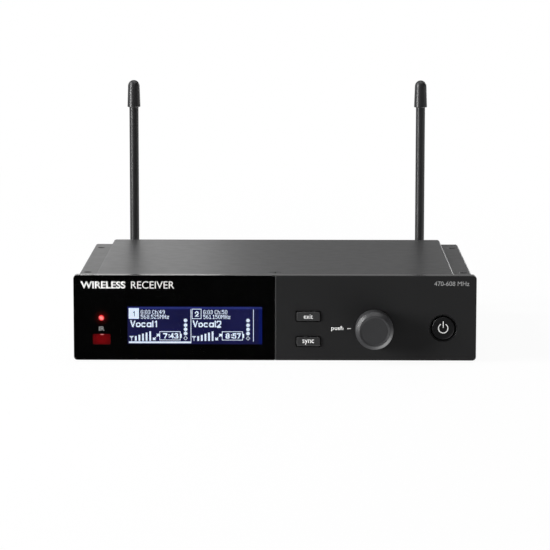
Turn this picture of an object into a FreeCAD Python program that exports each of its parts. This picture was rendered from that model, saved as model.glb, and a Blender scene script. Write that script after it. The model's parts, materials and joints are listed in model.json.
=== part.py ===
import FreeCAD, Part
import math
import os
from FreeCAD import Vector

# Half-rack wireless microphone receiver: a folded steel chassis with rack rails, a moulded front panel
# with a display window, keys and a push encoder, and a rear panel with two articulated whip antennas.
#
# X runs to the right of someone facing the panel, Y runs from the panel to the rear, Z is up.
# Every piece is first placed by its depth behind the panel's front face (depth 0), then save() moves
# it so that the origin is the middle of the whole object's footprint, at the surface it stands on.
# All sizes are in millimetres.

# ---------------------------------------------------------------- driving dimensions
panel_width = 197.0
panel_height = 42.0
chassis_depth = 152.0  # front face of the panel to the back face of the cover
foot_thickness = 1.2
foot_radius = 6.0
pad_inset = 18.0  # side of the cover to the middle of a pad
pad_front = 26.0
panel_ground_gap = 0.5
cover_drop = 1.2  # top of the panel down to the top of the cover
rail_inset = 0.2  # edge of the panel in to the outside of a rail
ledge_width = 10.0  # rack ledge, from the rail's outside to the cover's side
ledge_step = 2.5  # cover's top down to the ledge, the thickness of a rack bracket
ledge_lip = 6.0  # how far a ledge goes on under the cover
pan_sheet = 1.0
pan_fold = 0.7  # radius of its folds, along the middle of the sheet
cover_sheet = 0.8
cover_fold = 0.6
rear_flange_height = 6.0  # the cover's flange down over the rear panel

# moulded front panel
rim_depth = 5.0
rim_wall = 2.2
plate_thickness = 3.0
corner_radius = 1.8
edge_round = 0.5
window_thickness = 1.7
mask_thickness = 0.3  # black film behind the clear window
backing_thickness = 2.0
joint_gap = 0.3  # groove between the window and the matt half
control_height = 16.1  # encoder and power key, above the panel's lower edge
tongue_length = 26.0
tongue_screw_depth = 19.3
tongue_thickness = 3.5
bottom_tongue_thickness = 2.2
bottom_tongue_inset = 16.5  # panel's end to the middle of a lower tongue
boss_inset = 7.5  # panel's end to the middle of the control board's outer bosses
middle_boss_x = 1.5
boss_radius = 3.0
boss_heights = (8.5, 31.5)  # above the panel's lower edge
left_boss_heights = (18.0, 31.5)
wall_thickness = 1.6  # walls that locate the panel inside the rails
wall_end = 11.0

# display, lamp and infrared window
display_inset = 59.3  # panel's end to the middle of the display
display_centre_height = 17.0
display_width = 65.9
display_height = 18.5
glass_margin = 3.0
glass_thickness = 2.0
backlight_thickness = 3.5
light_pipe_inset = 13.65
light_pipe_height = 20.95
light_pipe_radius = 1.35
ir_window_inset = 13.7
ir_window_height = 10.35
ir_window_size = (8.6, 5.15)

# keys, encoder and power key
key_x = 16.35
key_height = 15.6  # middle of the two keys, above the panel's lower edge
key_pitch = 12.5
key_size = (11.4, 4.3)
key_gap = 0.55
key_travel = 0.5
key_proud = 0.8
knob_x = 48.5
knob_radius = 9.25
knob_length = 9.8
knob_bevel = 1.75  # width and height of the bevel round its face
knob_dish = 0.35  # how far the face lies below its rim
knob_wall = 1.8
knob_lift = 1.0  # gap between the knob and the panel
knob_travel = 0.5
shaft_radius = 3.0
power_inset = 16.2
power_radius = 5.45
power_gap = 0.65
power_chamfer = 0.7
power_travel = 1.0

# circuit boards
board_thickness = 1.6
control_board_depth = 14.0
main_board_front = 30.0
standoff_height = 4.0
standoff_spread = 78.0
shield_x = 47.0
shield_width = 50.0
shield_height = 8.0
shield_sheet = 0.5
parts_setback = 46.2  # row of the largest components, ahead of the rear panel
cable_x = 24.0
cable_width = 20.0
cable_sheet = 0.4
cable_exit_height = 21.5
cable_drop_depth = 40.0

# rear panel
antenna_inset = 19.8  # panel's end to the middle of an antenna socket
antenna_height = 20.5  # centre line of the antenna sockets above the panel's lower edge
xlr_bore = 9.4
xlr_wall = 2.5
xlr_depth = 16.0
xlr_flange = 1.4
xlr_pin_circle = 5.4
xlr_pin_radius = 1.2
xlr_board_gap = 0.6  # between a socket's shell and the main board
jack_bore = 3.25
jack_wall = 1.35
jack_bore_length = 30.0
jack_height = 17.5
ethernet_mouth = (11.8, 7.0)
ethernet_wall = 2.2
dc_bore = 3.2
dc_pin_radius = 1.05
tie_width = 5.0
tie_reach = 9.0
tie_thickness = 2.0
# Middles of the rear panel's connectors, across the panel.
dc_x = 60.0
tie_x = 51.0
ethernet_x = 39.0
xlr_places = (14.5, -32.5)
jack_places = (-9.0, -56.5)
whip_height = 125.6  # tip of an antenna above the panel's lower edge
whip_radius = 2.5
cap_length = 14.7
cap_radius = 3.55
rack_hole_radius = 1.65  # core of an M4 thread, formed in the sheet
rack_hole_inset = 4.1  # from the rail's outside
rack_hole_collar = 1.6
rack_hole_front = 38.2
rack_hole_rear = 16.7  # from the back of the cover

# fits
slip = 0.2  # loose gap between fixed pieces
touch = 0.02  # gap between pieces that seat on each other
running = 0.04  # radial clearance of a turning pin
screw_radius = 1.5
screw_slip = 0.05
head_radius = 2.75

# ---------------------------------------------------------------- derived places
panel_low = panel_ground_gap
panel_top = panel_low + panel_height
half_panel = panel_width / 2
control_z = panel_low + control_height
cover_top = panel_top - cover_drop
cover_under = cover_top - cover_sheet
pan_under = foot_thickness
floor_top = pan_under + pan_sheet
rail_out = half_panel - rail_inset
rail_in = rail_out - pan_sheet
cover_half = rail_out - ledge_width
ledge_top = cover_top - ledge_step
ledge_low = pan_under + ledge_step
chassis_front = rim_depth + slip
rear_face = chassis_depth - cover_sheet  # outside of the rear panel
rear_inside = rear_face - pan_sheet
parts_depth = rear_inside - parts_setback
board_top = floor_top + standoff_height + board_thickness
antenna_x = half_panel - antenna_inset
antenna_z = panel_low + antenna_height
display_x = display_inset - half_panel
display_z = panel_low + display_centre_height
light_pipe_x = light_pipe_inset - half_panel
light_pipe_z = panel_low + light_pipe_height
ir_x = ir_window_inset - half_panel
ir_z = panel_low + ir_window_height
power_x = half_panel - power_inset
bottom_tongue_x = half_panel - bottom_tongue_inset
backing_front = window_thickness + mask_thickness
backing_back = backing_front + backing_thickness
glass_front = backing_front + 0.1
xlr_radius = xlr_bore + xlr_wall
xlr_flange_radius = xlr_radius + 1.1
xlr_z = board_top + xlr_radius + xlr_board_gap
jack_thread_radius = jack_bore + jack_wall
jack_nut_radius = jack_thread_radius + 2.0
jack_z = panel_low + jack_height
ethernet_z = board_top + ethernet_mouth[1] / 2 + 3.2
dc_z = board_top + dc_bore + 2.4
knob_back = -knob_lift
knob_face = knob_back - knob_length

# antenna socket and articulated antenna, as distances behind the rear panel's outside
nut_start = 0.8
nut_thickness = 2.4
nut_across = 14.3
thread_length = 4.3
thread_radius = 6.2
barrel_radius = 4.8
barrel_length = 13.8
lug_setback = 4.9
lug_radius = 0.95
lug_reach = 5.5
ring_start = 5.3
ring_length = 14.5
ring_radius = 7.25
pivot_setback = 26.8
fork_radius = 4.5
fork_gap = 5.0
fork_half = 4.9
pin_radius = 1.0
pivot_depth = rear_face + pivot_setback
rear_extent = pivot_depth + fork_radius
origin_shift = Vector(0, -(knob_face + rear_extent) / 2, 0)


# ---------------------------------------------------------------- shape helpers
def box(x0, x1, y0, y1, z0, z1):
    return Part.makeBox(x1 - x0, y1 - y0, z1 - z0, Vector(x0, y0, z0))


def rod(radius, x, z, y0, y1):
    """Cylinder along Y from depth y0 to y1."""
    return Part.makeCylinder(radius, y1 - y0, Vector(x, y0, z), Vector(0, 1, 0))


def post(radius, x, y, z0, z1):
    """Cylinder along Z."""
    return Part.makeCylinder(radius, z1 - z0, Vector(x, y, z0))


def pipe(outer, inner, x, z, y0, y1):
    return rod(outer, x, z, y0, y1).cut(rod(inner, x, z, y0 - 1, y1 + 1))


def outline(x0, x1, z0, z1, y, left, right):
    """Rectangle in the XZ plane at depth y, with its left and right corners rounded by these radii."""
    corners = [(x0, z0, left), (x1, z0, right), (x1, z1, right), (x0, z1, left)]
    outward = [(1, 1), (-1, 1), (-1, -1), (1, -1)]
    starts = []
    for (x, z, r), (sx, sz) in zip(corners, outward):
        along_x = Vector(x + sx * r, y, z)
        along_z = Vector(x, y, z + sz * r)
        bow = r * (1 - math.sqrt(0.5))
        middle = Vector(x + sx * bow, y, z + sz * bow)
        first = along_z if sx == sz else along_x
        last = along_x if sx == sz else along_z
        starts.append((first, middle, last, r))
    edges = []
    for index, (first, middle, last, r) in enumerate(starts):
        if r > 0:
            edges.append(Part.Arc(first, middle, last).toShape())
        following = starts[(index + 1) % 4][0]
        edges.append(Part.LineSegment(last, following).toShape())
    return Part.Wire(edges)


def slab(x0, x1, z0, z1, y0, y1, left=0.0, right=None):
    """Plate in the XZ plane between two depths, with rounded corners."""
    right = left if right is None else right
    face = Part.Face(outline(x0, x1, z0, z1, y0, left, right))
    return face.extrude(Vector(0, y1 - y0, 0))


def centred_slab(x, z, size, y0, y1, radius=0.0):
    half_x = size[0] / 2
    half_z = size[1] / 2
    return slab(x - half_x, x + half_x, z - half_z, z + half_z, y0, y1, radius)


def folded_sheet(path, sheet, bend, place, sweep):
    """Sheet folded along a centre line of 2D points, with every fold rounded to the radius bend.

    place turns a 2D point into a Vector, and sweep is the extrusion."""
    flat = [Vector(u, w, 0) for u, w in path]
    sides = {1: [], -1: []}
    for index, point in enumerate(flat):
        before = (point - flat[index - 1]).normalize() if index else None
        after = (flat[index + 1] - point).normalize() if index < len(flat) - 1 else None
        for side, made in sides.items():
            reach = side * sheet / 2
            if before is None or after is None:
                along = after or before
                made.append([point + Vector(-along.y, along.x, 0) * reach])
                continue
            turn = 1 if before.cross(after).z > 0 else -1
            normals = [Vector(-v.y, v.x, 0) for v in (before, after)]
            tangent = bend * math.tan(before.getAngle(after) / 2)
            first = point - before * tangent
            last = point + after * tangent
            centre = first + normals[0] * turn * bend
            middle = centre + (point - centre).normalize() * (bend - turn * reach)
            made.append([first + normals[0] * reach, middle, last + normals[1] * reach])
    runs = sides[1] + [list(reversed(step)) for step in reversed(sides[-1])]
    edges = []
    for index, step in enumerate(runs):
        points = [place(p.x, p.y) for p in step]
        if len(points) == 3:
            edges.append(Part.Arc(*points).toShape())
        following = runs[(index + 1) % len(runs)][0]
        edges.append(Part.LineSegment(points[-1], place(following.x, following.y)).toShape())
    return Part.Face(Part.Wire(edges)).extrude(sweep)


def fold_across(path, sheet, bend, y0, y1):
    """Folds seen from the front: (x, z) points, swept from depth y0 to y1."""
    return folded_sheet(path, sheet, bend, lambda x, z: Vector(x, y0, z), Vector(0, y1 - y0, 0))


def fold_along(path, sheet, bend, x0, x1):
    """Folds seen from the side: (depth, z) points, swept from x0 to x1."""
    return folded_sheet(path, sheet, bend, lambda y, z: Vector(x0, y, z), Vector(x1 - x0, 0, 0))


def edges_at_depth(shape, y):
    return [e for e in shape.Edges if all(abs(v.Y - y) < 1e-6 for v in e.Vertexes)]


def lathe(profile, x=0.0, y=0.0, z=0.0, axis=Vector(0, 0, 1)):
    """Solid of revolution: profile is (radius, height) points from the axis out and back to it."""
    points = [Vector(r, 0, h) for r, h in profile]
    face = Part.Face(Part.makePolygon(points + [points[0]]))
    solid = face.revolve(Vector(0, 0, 0), Vector(0, 0, 1), 360)
    solid.rotate(Vector(0, 0, 0), *turn_to(axis))
    solid.translate(Vector(x, y, z))
    return solid


def turn_to(axis):
    """Axis and angle of the rotation that takes +Z to axis, as rotate() wants them."""
    rotation = FreeCAD.Rotation(Vector(0, 0, 1), axis)
    return rotation.Axis, math.degrees(rotation.Angle)


def hexagon(across, x, z, y0, y1, turn=0.0):
    """Hexagonal prism along Y, with its points up or down when turn is 0."""
    reach = across / math.sqrt(3)
    angles = [math.radians(turn + 60 * step) for step in range(7)]
    points = [Vector(x + reach * math.sin(a), y0, z + reach * math.cos(a)) for a in angles]
    return Part.Face(Part.makePolygon(points)).extrude(Vector(0, y1 - y0, 0))


def around(shape, x, z, angle):
    """Copy of a shape turned about an axis along Y."""
    copy = shape.copy()
    copy.rotate(Vector(x, 0, z), Vector(0, 1, 0), angle)
    return copy


def mirrored(shape):
    return shape.mirror(Vector(0, 0, 0), Vector(1, 0, 0))


def both_sides(shape):
    return [shape, mirrored(shape)]


def cross_recess(depth):
    """Cross for a screwdriver, cut down from height 0, tapering towards its foot."""
    arm = box(-1.5, 1.5, -0.35, 0.35, -depth, 0.1)
    other = box(-0.35, 0.35, -1.5, 1.5, -depth, 0.1)
    return arm.fuse(other)


def screw(kind, length, x, y, z, axis):
    """Machine screw. Its head's top is at x, y, z, and axis points out of the head."""
    if kind == "flat":
        sink = head_radius - screw_radius
        profile = [(0, 0), (head_radius, 0), (head_radius, -0.15), (screw_radius, -0.15 - sink)]
    else:
        rise = 2.0
        profile = [(0, 0), (head_radius - 0.8, 0), (head_radius - 0.2, -0.5)]
        profile += [(head_radius, -1.1), (head_radius, -rise), (screw_radius, -rise)]
    profile += [(screw_radius, 0.3 - length), (screw_radius - 0.3, -length), (0, -length)]
    solid = lathe(profile).cut(cross_recess(1.1))
    solid.rotate(Vector(0, 0, 0), *turn_to(axis))
    solid.translate(Vector(x, y, z))
    return solid


def dimpled(sheet, thickness, x, y, surface, outward):
    """A sheet with a dimple that takes a flat-headed screw. outward is 1 for a top face, -1 below."""
    axis = Vector(0, 0, outward)
    mouth = head_radius + 0.35
    throat = screw_radius + 0.15
    depth = mouth - throat
    foot = -depth - thickness * 0.5
    wall = thickness * 1.2
    cone = [(0, 0), (mouth + wall, 0), (throat + wall, -depth), (throat + wall, foot), (0, foot)]
    funnel = [(0, 0.5), (mouth, 0.5), (mouth, 0), (throat, -depth), (throat, foot - 1), (0, foot - 1)]
    formed = sheet.fuse(lathe(cone, x, y, surface, axis))
    return formed.cut(lathe(funnel, x, y, surface, axis))


def dimple_reach(thickness):
    """How far a dimple reaches in from the sheet's outside."""
    return head_radius + 0.35 - screw_radius - 0.15 + thickness * 0.5


# ---------------------------------------------------------------- front panel
def bezel_tongue(x, half, z0, z1):
    """Tongue that reaches back into the chassis and takes a screw."""
    tongue = box(x - half, x + half, plate_thickness - 0.5, tongue_length, z0, z1)
    return tongue.cut(post(screw_radius + screw_slip, x, tongue_screw_depth, z0 - 1, z1 + 1))


def board_boss_places():
    """Where the control board is screwed to the panel: x and z of each boss."""
    end = half_panel - boss_inset
    columns = ((-end, left_boss_heights), (middle_boss_x, boss_heights), (end, boss_heights))
    return [(x, panel_low + height) for x, heights in columns for height in heights]


def top_tongue_low():
    return cover_top - dimple_reach(cover_sheet) - touch - tongue_thickness


def bottom_tongue_low():
    return pan_under + dimple_reach(pan_sheet) + touch


def front_bezel():
    joint = joint_gap / 2
    right = slab(joint, half_panel, panel_low, panel_top, 0, rim_depth, 0, corner_radius)
    right = right.makeFillet(edge_round, edges_at_depth(right, 0))
    left_back = slab(
        -half_panel, joint, panel_low, panel_top, backing_front + touch, rim_depth, corner_radius, 0
    )
    shell = right.fuse(left_back)
    low = panel_low + rim_wall
    high = panel_top - rim_wall
    side = half_panel - rim_wall
    shell = shell.cut(box(0, side, plate_thickness, rim_depth + 1, low, high))
    shell = shell.cut(box(-side, 0, backing_back, rim_depth + 1, low, high))
    # walls that locate the panel inside the rails
    wall_out = rail_in - slip
    wall_in = wall_out - wall_thickness
    wall = box(wall_in, wall_out, plate_thickness - 0.5, wall_end, ledge_low + 5, ledge_top - 5)
    for piece in both_sides(wall):
        shell = shell.fuse(piece)
    top = top_tongue_low()
    low = bottom_tongue_low()
    shell = shell.fuse(bezel_tongue(0, 9, top, top + tongue_thickness))
    for x in (-bottom_tongue_x, bottom_tongue_x):
        shell = shell.fuse(bezel_tongue(x, 4, low, low + bottom_tongue_thickness))
    for x, z in board_boss_places():
        shell = shell.fuse(rod(boss_radius, x, z, plate_thickness - 0.5, control_board_depth - touch))
        shell = shell.cut(rod(screw_radius + screw_slip, x, z, 7, control_board_depth + 1))
    return shell.cut(Part.makeCompound(bezel_openings())).removeSplitter()


def bezel_openings():
    """What is cut through the moulding: apertures for the display, lights, keys and encoder."""
    glass = (display_width + 2 * glass_margin, display_height + 2 * glass_margin)
    room = (glass[0] + 2 * slip, glass[1] + 2 * slip)
    back = rim_depth + 1
    cuts = [centred_slab(display_x, display_z, room, backing_front - 0.5, back, 0.5)]
    cuts.append(rod(light_pipe_radius + slip, light_pipe_x, light_pipe_z, 1, back))
    ir_room = (ir_window_size[0] + 2 + 2 * slip, ir_window_size[1] + 2 + 2 * slip)
    cuts.append(centred_slab(ir_x, ir_z, ir_room, backing_front - 0.5, back, 0.5))
    for z in key_heights():
        room = (key_size[0] + 2 * key_gap, key_size[1] + 2 * key_gap)
        cuts.append(centred_slab(key_x, z, room, -1, back, 0.9))
    cuts.append(rod(bushing_radius() + slip, knob_x, control_z, -1, back))
    hole = power_radius + power_gap
    cuts.append(rod(hole, power_x, control_z, -1, back))
    flare = [(0, 0.5), (hole + power_chamfer + 0.5, 0.5), (hole, -power_chamfer), (0, -power_chamfer)]
    cuts.append(lathe(flare, power_x, 0, control_z, Vector(0, -1, 0)))
    return cuts


def key_heights():
    middle = panel_low + key_height
    return (middle + key_pitch / 2, middle - key_pitch / 2)


def bushing_radius():
    return shaft_radius + 0.8


def window_layer(start, end):
    """Layer over the whole left half of the panel, with holes for the lamp and the infrared window."""
    layer = slab(-half_panel, -joint_gap / 2, panel_low, panel_top, start, end, corner_radius, 0)
    if start == 0:
        layer = layer.makeFillet(edge_round, edges_at_depth(layer, 0))
    layer = layer.cut(rod(light_pipe_radius + touch, light_pipe_x, light_pipe_z, start - 1, end + 1))
    ir_room = (ir_window_size[0] + 2 * touch, ir_window_size[1] + 2 * touch)
    return layer.cut(centred_slab(ir_x, ir_z, ir_room, start - 1, end + 1, 0.6))


def display_window():
    """Clear window, flush with the matt half of the panel."""
    return window_layer(0, window_thickness)


def window_mask():
    """Black film behind the window, open over the display."""
    film = window_layer(window_thickness + 0.01, backing_front)
    opening = (display_width, display_height)
    return film.cut(centred_slab(display_x, display_z, opening, window_thickness - 1, backing_front + 1))


def light_pipe():
    """Red light pipe from the panel's face to the lamp on the control board."""
    z = light_pipe_z
    x = light_pipe_x
    dome = Part.makeSphere(light_pipe_radius * 1.4, Vector(x, light_pipe_radius, z))
    front = rod(light_pipe_radius, x, z, -0.6, 3).common(dome.fuse(rod(light_pipe_radius, x, z, 1, 3)))
    return front.fuse(rod(light_pipe_radius, x, z, 2.5, control_board_depth - 1.6 - touch))


def ir_window():
    """Red filter in the window, with a flange behind it."""
    front = centred_slab(ir_x, ir_z, ir_window_size, 0, backing_front + 0.5, 0.6)
    wide = (ir_window_size[0] + 2, ir_window_size[1] + 2)
    flange = centred_slab(ir_x, ir_z, wide, backing_front + touch, backing_front + 1.5, 0.5)
    return front.fuse(flange).removeSplitter()


# ---------------------------------------------------------------- display module
def glass_size():
    return (display_width + 2 * glass_margin, display_height + 2 * glass_margin)


def lcd_panel():
    return centred_slab(
        display_x, display_z, glass_size(), glass_front, glass_front + glass_thickness
    )


def backlight_back():
    return glass_front + glass_thickness + backlight_thickness + touch


def lcd_backlight():
    start = glass_front + glass_thickness + touch
    return centred_slab(display_x, display_z, glass_size(), start, backlight_back())


def lcd_frame():
    """Moulded tray that holds the display against the window and stands on the control board."""
    width, height = glass_size()
    wide = (width + 2.4, height + 2.4)
    start = backing_back + slip
    end = control_board_depth - touch
    tray = centred_slab(display_x, display_z, wide, start, end, 1.0)
    room = (width + 2 * touch, height + 2 * touch)
    tray = tray.cut(centred_slab(display_x, display_z, room, start - 1, backlight_back() + touch))
    window = (width - 12, height - 8)
    tray = tray.cut(centred_slab(display_x, display_z, window, start, end + 1, 2.0))
    return tray.removeSplitter()


# ---------------------------------------------------------------- keys and encoder
switch_height = 3.5
plunger_radius = 1.7
plunger_proud = 1.0
flange_gap = 0.15  # between a key's flange and the back of the panel plate


def switch_face():
    return control_board_depth - switch_height


def key_cap(z):
    """Rubber-faced key with a flange behind the panel and a post that meets its switch."""
    face = -key_proud
    cap = centred_slab(key_x, z, key_size, face, plate_thickness + 1, 0.6)
    cap = cap.makeFillet(0.3, edges_at_depth(cap, face))
    wide = (key_size[0] + 2.4, key_size[1] + 2.4)
    start = plate_thickness + flange_gap
    flange = centred_slab(key_x, z, wide, start, start + 1.2, 1.0)
    stem = rod(1.6, key_x, z, start + 1, switch_face() - plunger_proud)
    return cap.fuse(flange).fuse(stem).removeSplitter()


def switch_plunger(x, z, proud):
    """Plunger of a board-mounted push switch, in its own well in the switch body."""
    return rod(plunger_radius, x, z, switch_face() - proud + touch, switch_face() + 0.8)


def switch_body(x, z, travel):
    half = 3.0
    body = box(x - half, x + half, switch_face(), control_board_depth - touch, z - half, z + half)
    well = rod(plunger_radius + 0.1, x, z, switch_face() - 1, switch_face() + 1.0 + travel)
    return body.cut(well)


def power_cap():
    face = -0.3
    cap = rod(power_radius, power_x, control_z, face, plate_thickness + 1)
    cap = cap.makeFillet(0.35, edges_at_depth(cap, face))
    start = plate_thickness + flange_gap
    flange = rod(power_radius + power_gap + 1.2, power_x, control_z, start, start + 1.2)
    stem = rod(2.2, power_x, control_z, start + 1, switch_face() - power_plunger_proud())
    return cap.fuse(flange).fuse(stem).removeSplitter()


def power_plunger_proud():
    return power_travel + 0.5


def encoder_knob():
    """Hollow knob: a bevelled cap with a hub that grips the shaft."""
    x = knob_x
    z = control_z
    inner = knob_radius - knob_wall
    length = knob_length
    rim = knob_radius - knob_bevel
    step = 0.15  # breaks the two edges of the bevel
    profile = [(0, 0), (knob_radius, 0), (knob_radius, length - knob_bevel - step)]
    profile += [(knob_radius - step, length - knob_bevel + step), (rim + step, length - step)]
    profile += [(rim - step, length), (rim - 3 * knob_dish, length - knob_dish), (0, length - knob_dish)]
    cap = lathe(profile, x, knob_back, z, Vector(0, -1, 0))
    cap = cap.cut(rod(inner, x, z, knob_face + 2.5, knob_back + 1))
    hub = pipe(shaft_radius + 1.6, shaft_radius + touch, x, z, knob_face + 2, knob_back - 1.5)
    return cap.fuse(hub).removeSplitter()


def encoder_shaft():
    """Shaft with a flat at its end, from the knob through the bushing."""
    start = knob_face + 2.5 + touch
    end = encoder_front() + 4.5
    return rod(shaft_radius, knob_x, control_z, start, end)


def encoder_front():
    return control_board_depth - 7.0


def encoder_body():
    """Metal-cased encoder on the control board, with a bushing that passes the panel."""
    x = knob_x
    z = control_z
    half = 6.2
    body = box(x - half, x + half, encoder_front(), control_board_depth - touch, z - half, z + half)
    body = body.fuse(rod(bushing_radius(), x, z, 0.5, encoder_front() + 1))
    well = rod(shaft_radius + running, x, z, 0, encoder_front() + 4.5 + knob_travel + 0.2)
    socket = rod(plunger_radius + 0.1, x, z, encoder_front() + 4, control_board_depth - 0.3)
    return body.cut(well).cut(socket)


def encoder_plunger():
    """Actuator behind the shaft that closes the push switch."""
    start = encoder_front() + 4.5 + touch
    return rod(plunger_radius, knob_x, control_z, start, control_board_depth - 0.35 - knob_travel)


# ---------------------------------------------------------------- boards
def control_board():
    low = bottom_tongue_low() + bottom_tongue_thickness + slip
    high = top_tongue_low() - 4 * slip
    half = rail_in - 3.5
    start = control_board_depth
    board = slab(-half, half, low, high, start, start + board_thickness, 1.0)
    for x, z in board_boss_places():
        board = board.cut(rod(screw_radius + 0.1, x, z, start - 1, start + board_thickness + 1))
    return board


def control_board_lamps():
    """Status lamp and infrared transceiver on the front of the control board."""
    end = control_board_depth - touch
    lamp = centred_slab(light_pipe_x, light_pipe_z, (3.2, 2.8), end - 1.5, end)
    ir = centred_slab(ir_x, ir_z, (8.0, 3.4), end - 4.0, end)
    lenses = []
    for offset in (-2.2, 2.2):
        lenses.append(Part.makeSphere(1.3, Vector(ir_x + offset, end - 4.0, ir_z)))
    return [lamp, ir.fuse(lenses)]


def main_board():
    half = cover_half - 4.0
    low = board_top - board_thickness
    board = box(-half, half, main_board_front, main_board_end(), low, board_top)
    for x, y in standoff_places():
        board = board.cut(post(screw_radius + 0.1, x, y, low - 1, board_top + 1))
    return board


def main_board_end():
    return rear_inside - 1.0


def standoff_places():
    rows = (main_board_front + 6.0, main_board_end() - 37.0)
    return [(x, y) for x in (-standoff_spread, 0.0, standoff_spread) for y in rows]


def board_standoffs():
    made = []
    for x, y in standoff_places():
        stand = post(3.0, x, y, floor_top, board_top - board_thickness)
        made.append(stand.cut(post(screw_radius + screw_slip, x, y, floor_top + 0.5, board_top)))
    return made


def board_screws():
    top = board_top + 2.0 + touch
    made = [screw("pan", 6.0, x, y, top, Vector(0, 0, 1)) for x, y in standoff_places()]
    back = control_board_depth + board_thickness + 2.0 + touch
    made += [screw("pan", 7.0, x, back, z, Vector(0, 1, 0)) for x, z in board_boss_places()]
    return made


def rf_shields():
    """Two pressed cans over the radio sections, open below."""
    made = []
    low = board_top + touch
    half = shield_width / 2
    room = half - shield_sheet
    front = main_board_front + 18
    back = parts_depth - 12
    high = low + shield_height
    for x in (-shield_x, shield_x):
        can = box(x - half, x + half, front, back, low, high)
        can = can.makeFillet(1.0, [e for e in can.Edges if abs(e.tangentAt(0).z) > 0.9])
        inside = box(
            x - room, x + room, front + shield_sheet, back - shield_sheet, low - 1, high - shield_sheet
        )
        made.append(can.cut(inside))
    return made


def board_components():
    """Chips, inductors and capacitors that do the work on the main board."""
    low = board_top + touch
    front = main_board_front
    row = parts_depth
    made = [
        box(-9, 9, front + 11, front + 27, low, low + 1.6),
        box(-8, 6, row - 20, row - 8, low, low + 1.4),
        box(-80, -74, front + 30, front + 42, low, low + 1.8),
        box(-18, -6, row - 4, row + 2, low, low + 2.4),
    ]
    for x, y in ((76.0, front + 32), (76.0, front + 45), (58.0, row)):
        coil = box(x - 4, x + 4, y - 4, y + 4, low, low + 4.2)
        made.append(coil.makeFillet(1.2, [e for e in coil.Edges if abs(e.tangentAt(0).z) > 0.9]))
    for x, y in ((46.0, row), (36.0, row), (-40.0, row - 1), (-54.0, row - 1)):
        made.append(post(3.2, x, y, low, low + 8.0))
    for x in (-antenna_x, antenna_x):
        socket = box(x - 2, x + 2, lead_drop_depth() - 2, lead_drop_depth() + 2, low, low + 2.0)
        made.append(socket)
    return made


def lead_drop_depth():
    return main_board_end() - 30.0


def antenna_leads():
    """Coaxial lead from each antenna socket, down to its connector on the main board."""
    start = rear_inside - 3.5
    bend = 6.0
    end = lead_drop_depth()
    bow = bend * (1 - math.sqrt(0.5))
    made = []
    for x in (-antenna_x, antenna_x):
        first = Vector(x, start, antenna_z)
        along = Vector(x, end + bend, antenna_z)
        middle = Vector(x, end + bow, antenna_z - bow)
        down = Vector(x, end, antenna_z - bend)
        last = Vector(x, end, board_top + 2.0 + 2 * touch)
        straight = Part.LineSegment(first, along).toShape()
        turn = Part.Arc(along, middle, down).toShape()
        drop = Part.LineSegment(down, last).toShape()
        circle = Part.Wire(Part.makeCircle(0.9, first, Vector(0, 1, 0)))
        made.append(Part.Wire([straight, turn, drop]).makePipeShell([circle], True, False))
    return made


def cable_exit_z():
    return panel_low + cable_exit_height


def ribbon_connectors():
    """Latching headers for the flat cable, one on each board."""
    start = control_board_depth + board_thickness + touch
    low = board_top + touch
    z = cable_exit_z()
    y = cable_drop_depth
    left = cable_x - cable_width / 2 - 2
    right = cable_x + cable_width / 2 + 2
    slit = cable_sheet / 2 + touch
    first = box(left, right, start, start + 4.4, z - 2, z + 2)
    second = box(left, right, y - 2, y + 2, low, low + 4.4)
    first = first.cut(box(left + 1, right - 1, start + 1.4, start + 5, z - slit, z + slit))
    second = second.cut(box(left + 1, right - 1, y - slit, y + slit, low + 1.4, low + 5))
    return [first, second]


def ribbon_cable():
    """Flat cable from the control board, down to the main board."""
    start = control_board_depth + board_thickness + 1.6
    z = cable_exit_z()
    path = [(start, z), (cable_drop_depth, z), (cable_drop_depth, board_top + 1.6)]
    half = cable_width / 2
    return fold_along(path, cable_sheet, 6.0, cable_x - half, cable_x + half)


# ---------------------------------------------------------------- chassis
def rack_hole_places():
    x = rail_out - rack_hole_inset
    rows = (rack_hole_front, chassis_depth - rack_hole_rear)
    return [(side * x, y) for side in (-1, 1) for y in rows]


def chassis_pan():
    """Floor and both rails, folded from one sheet."""
    mid = pan_sheet / 2
    floor = pan_under + mid
    low = ledge_low + mid
    high = ledge_top - mid
    step = cover_half - mid
    web = rail_out - mid
    lip = cover_half - ledge_lip
    right = [(lip, high), (web, high), (web, low), (step, low), (step, floor)]
    left = [(-x, z) for x, z in reversed(right)]
    pan = fold_across(right + left, pan_sheet, pan_fold, chassis_front, rear_face)
    for x in (-bottom_tongue_x, bottom_tongue_x):
        pan = dimpled(pan, pan_sheet, x, tongue_screw_depth, pan_under, -1)
    for x in rear_flange_screws():
        pan = dimpled(pan, pan_sheet, x, rear_flange_depth(), pan_under, -1)
    for x, y in rack_hole_places():
        pan = formed_hole(pan, x, y, ledge_top, 1)
        pan = formed_hole(pan, x, y, ledge_low, -1)
    return pan.removeSplitter()


def formed_hole(sheet, x, y, surface, outward):
    """Tapped rack hole with a rounded mouth and a collar drawn inwards."""
    axis = Vector(0, 0, outward)
    mouth = 0.35
    outside = rack_hole_radius + 0.55
    end = -pan_sheet - rack_hole_collar
    drawn = lathe([(0, 0), (outside, 0), (outside, end), (0, end)], x, y, surface, axis)
    funnel = [(0, 0.5), (rack_hole_radius + mouth, 0.5), (rack_hole_radius + mouth, 0)]
    funnel += [(rack_hole_radius, -mouth), (rack_hole_radius, end - 1), (0, end - 1)]
    return sheet.fuse(drawn).cut(lathe(funnel, x, y, surface, axis))


def rear_flange_screws():
    return (-60.0, 0.0, 60.0)


def rear_flange_depth():
    return rear_inside - 7.0


def cover_screw_places():
    return (-56.0, 0.0, 56.0)


def cover_screw_z():
    return cover_top - rear_flange_height / 2 - 0.1


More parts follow.
